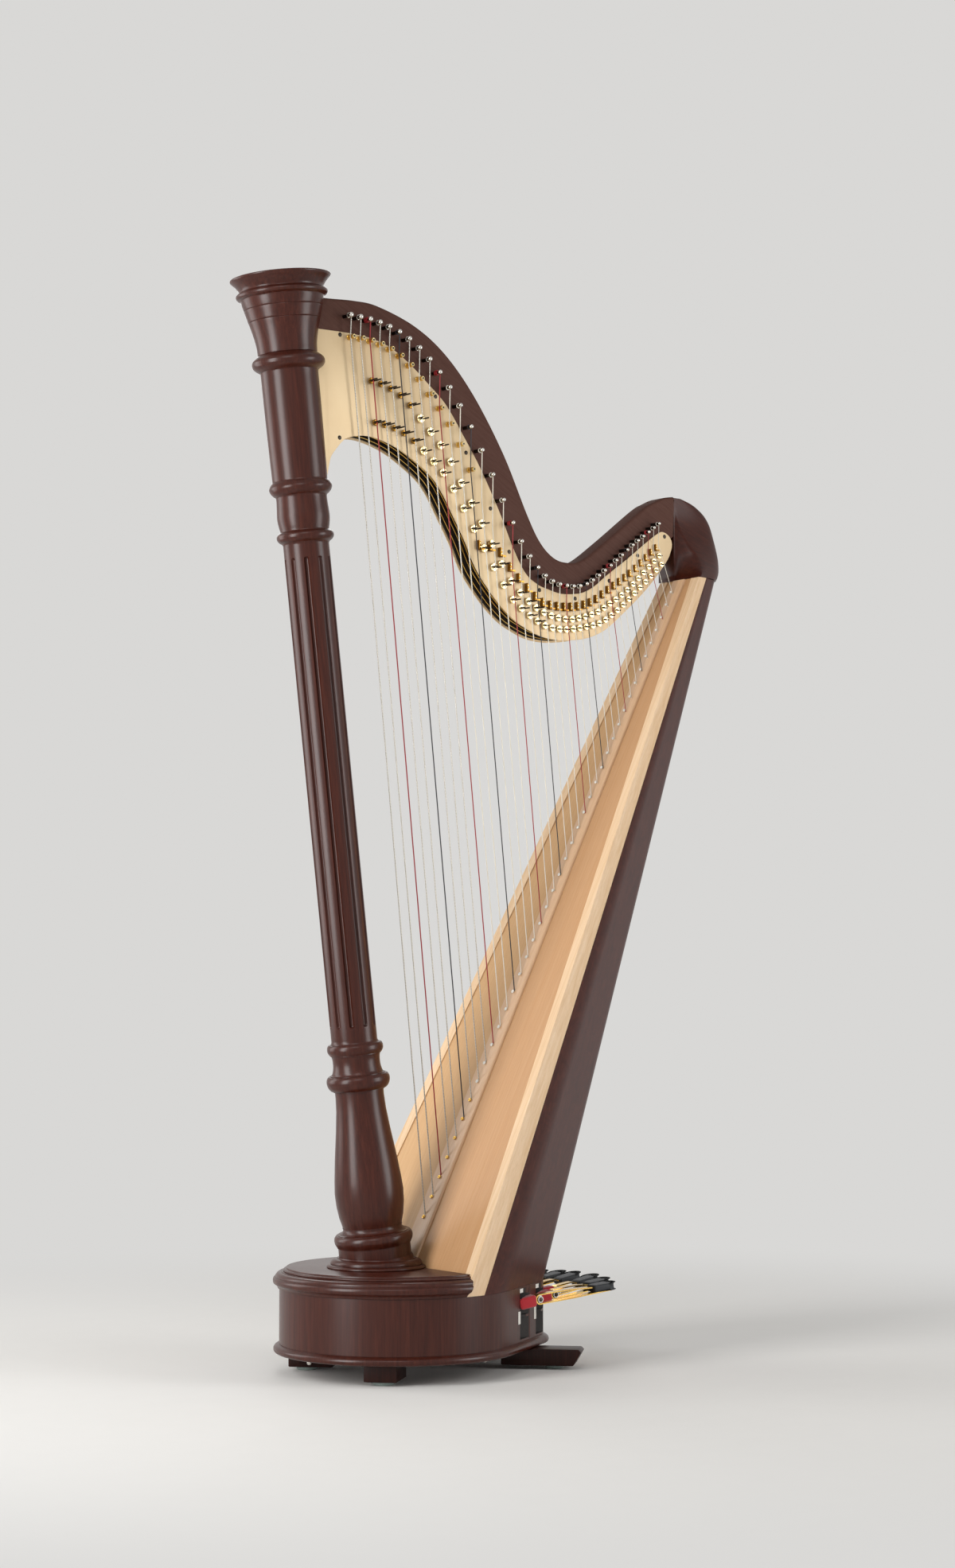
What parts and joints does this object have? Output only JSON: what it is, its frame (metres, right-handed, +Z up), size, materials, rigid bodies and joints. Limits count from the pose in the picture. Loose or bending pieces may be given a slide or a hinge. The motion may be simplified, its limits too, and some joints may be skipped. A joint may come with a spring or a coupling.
{
  "type": "pedal harp",
  "caption": "Upright pedal harp with a turned column, curved neck, tapered sound box, strings, folding foot pedals, pull rods and turning string discs.",
  "frame": {"origin": "middle of the footprint of the whole harp, on the floor", "axes": "+X from the column to the player and the pedals, +Z up, strings and discs on the -Y side of the neck"},
  "size_m": [1.0021, 0.3926, 1.7496],
  "materials": {
    "rubber": "matt",
    "polished_brass": "polished",
    "steel": "plain",
    "satin_brass": "satin",
    "pale_wood": "satin lacquer",
    "spruce": "satin lacquer",
    "gut": "plain",
    "dark_mahogany": "semi-gloss lacquer",
    "mahogany": "semi-gloss lacquer"
  },
  "bodies": {
    "natural_d": {"natural_disc_d": "polished_brass"},
    "sharp_d": {"sharp_disc_d": "polished_brass"},
    "lever_d": {"pedal_lever_d": "steel"},
    "arm_d": {"pedal_arm_d": "polished_brass"},
    "rod_d": {"pedal_rod_d": "steel"},
    "natural_c": {"natural_disc_c": "polished_brass"},
    "sharp_c": {"sharp_disc_c": "polished_brass"},
    "lever_c": {"pedal_lever_c": "steel"},
    "arm_c": {"pedal_arm_c": "polished_brass"},
    "rod_c": {"pedal_rod_c": "steel"},
    "natural_b": {"natural_disc_b": "polished_brass"},
    "sharp_b": {"sharp_disc_b": "polished_brass"},
    "lever_b": {"pedal_lever_b": "steel"},
    "arm_b": {"pedal_arm_b": "polished_brass"},
    "rod_b": {"pedal_rod_b": "steel"},
    "natural_e": {"natural_disc_e": "polished_brass"},
    "sharp_e": {"sharp_disc_e": "polished_brass"},
    "lever_e": {"pedal_lever_e": "steel"},
    "arm_e": {"pedal_arm_e": "polished_brass"},
    "rod_e": {"pedal_rod_e": "steel"},
    "natural_f": {"natural_disc_f": "polished_brass"},
    "sharp_f": {"sharp_disc_f": "polished_brass"},
    "lever_f": {"pedal_lever_f": "steel"},
    "arm_f": {"pedal_arm_f": "polished_brass"},
    "rod_f": {"pedal_rod_f": "steel"},
    "natural_g": {"natural_disc_g": "polished_brass"},
    "sharp_g": {"sharp_disc_g": "polished_brass"},
    "lever_g": {"pedal_lever_g": "steel"},
    "arm_g": {"pedal_arm_g": "polished_brass"},
    "rod_g": {"pedal_rod_g": "steel"},
    "natural_a": {"natural_disc_a": "polished_brass"},
    "sharp_a": {"sharp_disc_a": "polished_brass"},
    "lever_a": {"pedal_lever_a": "steel"},
    "arm_a": {"pedal_arm_a": "polished_brass"},
    "rod_a": {"pedal_rod_a": "steel"},
    "frame": {"neck": "mahogany", "action_plate_near": "satin_brass", "action_plate_far": "satin_brass", "shoulder": "mahogany", "base_bottom": "mahogany", "pedal_axle": "steel", "base_box": "mahogany", "base_top": "mahogany", "front_foot_near": "mahogany", "front_pad_near": "rubber", "rear_foot_near": "mahogany", "rear_pad_near": "rubber", "front_foot_far": "mahogany", "front_pad_far": "rubber", "rear_foot_far": "mahogany", "rear_pad_far": "rubber", "body_shell": "dark_mahogany", "edging_near": "pale_wood", "edging_far": "pale_wood", "soundboard": "spruce", "soundboard_bar": "pale_wood", "column": "mahogany", "capital": "mahogany", "strings_and_rib": "gut"}
  },
  "joints": [
    {"name": "pedal_d_press", "type": "hinge", "parent": "frame", "child": "lever_d", "pos_m": [-0.29733, 0, 0.072], "axis": [0, 1, 0], "range_deg": [0, 9.5], "stiffness_Nm_per_rad": 9, "springref_deg": -34.38},
    {"name": "pedal_d_fold", "type": "hinge", "parent": "lever_d", "child": "arm_d", "pos_m": [0.0017, -0.11506, 0.112], "axis": [0, -1, 0], "range_deg": [0, 60]},
    {"name": "rod_d_slide", "type": "slide", "parent": "frame", "child": "rod_d", "axis": [-0.1194, 0, 0.9928], "range_m": [-0.01272, 0]},
    {"name": "natural_disc_d_turn", "type": "hinge", "parent": "frame", "child": "natural_d", "pos_m": [-0.24377, 0.0067, 1.5875], "axis": [0.0436, -0.999, 0], "range_deg": [0, 60]},
    {"name": "sharp_disc_d_turn", "type": "hinge", "parent": "frame", "child": "sharp_d", "pos_m": [-0.23585, 0.00705, 1.52159], "axis": [0.0436, -0.999, 0], "range_deg": [0, 60]},
    {"name": "pedal_c_press", "type": "hinge", "parent": "frame", "child": "lever_c", "pos_m": [-0.29733, 0, 0.072], "axis": [0, 1, 0], "range_deg": [0, 7.8], "stiffness_Nm_per_rad": 9, "springref_deg": -34.38},
    {"name": "pedal_c_fold", "type": "hinge", "parent": "lever_c", "child": "arm_c", "pos_m": [0.06626, -0.07144, 0.112], "axis": [0, -1, 0], "range_deg": [0, 60]},
    {"name": "rod_c_slide", "type": "slide", "parent": "frame", "child": "rod_c", "axis": [-0.1194, 0, 0.9928], "range_m": [-0.01046, 0]},
    {"name": "natural_disc_c_turn", "type": "hinge", "parent": "frame", "child": "natural_c", "pos_m": [-0.2632, 0.00585, 1.59024], "axis": [0.0436, -0.999, 0], "range_deg": [0, 60]},
    {"name": "sharp_disc_c_turn", "type": "hinge", "parent": "frame", "child": "sharp_c", "pos_m": [-0.25511, 0.00621, 1.5229], "axis": [0.0436, -0.999, 0], "range_deg": [0, 60]},
    {"name": "pedal_b_press", "type": "hinge", "parent": "frame", "child": "lever_b", "pos_m": [-0.29733, 0, 0.072], "axis": [0, 1, 0], "range_deg": [0, 7], "stiffness_Nm_per_rad": 9, "springref_deg": -34.38},
    {"name": "pedal_b_fold", "type": "hinge", "parent": "lever_b", "child": "arm_b", "pos_m": [0.10547, -0.02801, 0.112], "axis": [0, -1, 0], "range_deg": [0, 60]},
    {"name": "rod_b_slide", "type": "slide", "parent": "frame", "child": "rod_b", "axis": [-0.1194, 0, 0.9928], "range_m": [-0.0094, 0]},
    {"name": "natural_disc_b_turn", "type": "hinge", "parent": "frame", "child": "natural_b", "pos_m": [-0.1424, 0.01113, 1.52127], "axis": [0.0436, -0.999, 0], "range_deg": [0, 60]},
    {"name": "sharp_disc_b_turn", "type": "hinge", "parent": "frame", "child": "sharp_b", "pos_m": [-0.13656, 0.01138, 1.47273], "axis": [0.0436, -0.999, 0], "range_deg": [0, 60]},
    {"name": "pedal_e_press", "type": "hinge", "parent": "frame", "child": "lever_e", "pos_m": [-0.29733, 0, 0.072], "axis": [0, 1, 0], "range_deg": [0, 7], "stiffness_Nm_per_rad": 9, "springref_deg": -34.38},
    {"name": "pedal_e_fold", "type": "hinge", "parent": "lever_e", "child": "arm_e", "pos_m": [0.10751, 0.022, 0.112], "axis": [0, -1, 0], "range_deg": [0, 60]},
    {"name": "rod_e_slide", "type": "slide", "parent": "frame", "child": "rod_e", "axis": [-0.1194, 0, 0.9928], "range_m": [-0.00939, 0]},
    {"name": "natural_disc_e_turn", "type": "hinge", "parent": "frame", "child": "natural_e", "pos_m": [-0.22419, 0.00756, 1.58236], "axis": [0.0436, -0.999, 0], "range_deg": [0, 60]},
    {"name": "sharp_disc_e_turn", "type": "hinge", "parent": "frame", "child": "sharp_e", "pos_m": [-0.21649, 0.00789, 1.51829], "axis": [0.0436, -0.999, 0], "range_deg": [0, 60]},
    {"name": "pedal_f_press", "type": "hinge", "parent": "frame", "child": "lever_f", "pos_m": [-0.29733, 0, 0.072], "axis": [0, 1, 0], "range_deg": [0, 7.3], "stiffness_Nm_per_rad": 9, "springref_deg": -34.38},
    {"name": "pedal_f_fold", "type": "hinge", "parent": "lever_f", "child": "arm_f", "pos_m": [0.089, 0.05396, 0.112], "axis": [0, -1, 0], "range_deg": [0, 60]},
    {"name": "rod_f_slide", "type": "slide", "parent": "frame", "child": "rod_f", "axis": [-0.1194, 0, 0.9928], "range_m": [-0.00979, 0]},
    {"name": "natural_disc_f_turn", "type": "hinge", "parent": "frame", "child": "natural_f", "pos_m": [-0.20435, 0.00842, 1.5739], "axis": [0.0436, -0.999, 0], "range_deg": [0, 60]},
    {"name": "sharp_disc_f_turn", "type": "hinge", "parent": "frame", "child": "sharp_f", "pos_m": [-0.19698, 0.00875, 1.51259], "axis": [0.0436, -0.999, 0], "range_deg": [0, 60]},
    {"name": "pedal_g_press", "type": "hinge", "parent": "frame", "child": "lever_g", "pos_m": [-0.29733, 0, 0.072], "axis": [0, 1, 0], "range_deg": [0, 8.3], "stiffness_Nm_per_rad": 9, "springref_deg": -34.38},
    {"name": "pedal_g_fold", "type": "hinge", "parent": "lever_g", "child": "arm_g", "pos_m": [0.04316, 0.08704, 0.112], "axis": [0, -1, 0], "range_deg": [0, 60]},
    {"name": "rod_g_slide", "type": "slide", "parent": "frame", "child": "rod_g", "axis": [-0.1194, 0, 0.9928], "range_m": [-0.01112, 0]},
    {"name": "natural_disc_g_turn", "type": "hinge", "parent": "frame", "child": "natural_g", "pos_m": [-0.184, 0.00931, 1.56006], "axis": [0.0436, -0.999, 0], "range_deg": [0, 60]},
    {"name": "sharp_disc_g_turn", "type": "hinge", "parent": "frame", "child": "sharp_g", "pos_m": [-0.17706, 0.00962, 1.50228], "axis": [0.0436, -0.999, 0], "range_deg": [0, 60]},
    {"name": "pedal_a_press", "type": "hinge", "parent": "frame", "child": "lever_a", "pos_m": [-0.29733, 0, 0.072], "axis": [0, 1, 0], "range_deg": [0, 9.7], "stiffness_Nm_per_rad": 9, "springref_deg": -34.38},
    {"name": "pedal_a_fold", "type": "hinge", "parent": "lever_a", "child": "arm_a", "pos_m": [-0.00554, 0.11994, 0.112], "axis": [0, -1, 0], "range_deg": [0, 60]},
    {"name": "rod_a_slide", "type": "slide", "parent": "frame", "child": "rod_a", "axis": [-0.1194, 0, 0.9928], "range_m": [-0.01299, 0]},
    {"name": "natural_disc_a_turn", "type": "hinge", "parent": "frame", "child": "natural_a", "pos_m": [-0.16314, 0.01022, 1.54074], "axis": [0.0436, -0.999, 0], "range_deg": [0, 60]},
    {"name": "sharp_disc_a_turn", "type": "hinge", "parent": "frame", "child": "sharp_a", "pos_m": [-0.15682, 0.0105, 1.48819], "axis": [0.0436, -0.999, 0], "range_deg": [0, 60]}
  ],
  "couplings": [
    {"joint": "rod_d_slide", "follows": "pedal_d_press", "m_per_rad": -0.0755},
    {"joint": "natural_disc_d_turn", "follows": "pedal_d_press", "ratio": 6.3052},
    {"joint": "sharp_disc_d_turn", "follows": "pedal_d_press", "ratio": 6.3052},
    {"joint": "rod_c_slide", "follows": "pedal_c_press", "m_per_rad": -0.07533},
    {"joint": "natural_disc_c_turn", "follows": "pedal_c_press", "ratio": 7.6794},
    {"joint": "sharp_disc_c_turn", "follows": "pedal_c_press", "ratio": 7.6794},
    {"joint": "rod_b_slide", "follows": "pedal_b_press", "m_per_rad": -0.07527},
    {"joint": "natural_disc_b_turn", "follows": "pedal_b_press", "ratio": 8.5571},
    {"joint": "sharp_disc_b_turn", "follows": "pedal_b_press", "ratio": 8.5571},
    {"joint": "rod_e_slide", "follows": "pedal_e_press", "m_per_rad": -0.07526},
    {"joint": "natural_disc_e_turn", "follows": "pedal_e_press", "ratio": 8.5571},
    {"joint": "sharp_disc_e_turn", "follows": "pedal_e_press", "ratio": 8.5571},
    {"joint": "rod_f_slide", "follows": "pedal_f_press", "m_per_rad": -0.07529},
    {"joint": "natural_disc_f_turn", "follows": "pedal_f_press", "ratio": 8.2054},
    {"joint": "sharp_disc_f_turn", "follows": "pedal_f_press", "ratio": 8.2054},
    {"joint": "rod_g_slide", "follows": "pedal_g_press", "m_per_rad": -0.07539},
    {"joint": "natural_disc_g_turn", "follows": "pedal_g_press", "ratio": 7.2168},
    {"joint": "sharp_disc_g_turn", "follows": "pedal_g_press", "ratio": 7.2168},
    {"joint": "rod_a_slide", "follows": "pedal_a_press", "m_per_rad": -0.07553},
    {"joint": "natural_disc_a_turn", "follows": "pedal_a_press", "ratio": 6.1752},
    {"joint": "sharp_disc_a_turn", "follows": "pedal_a_press", "ratio": 6.1752}
  ]
}
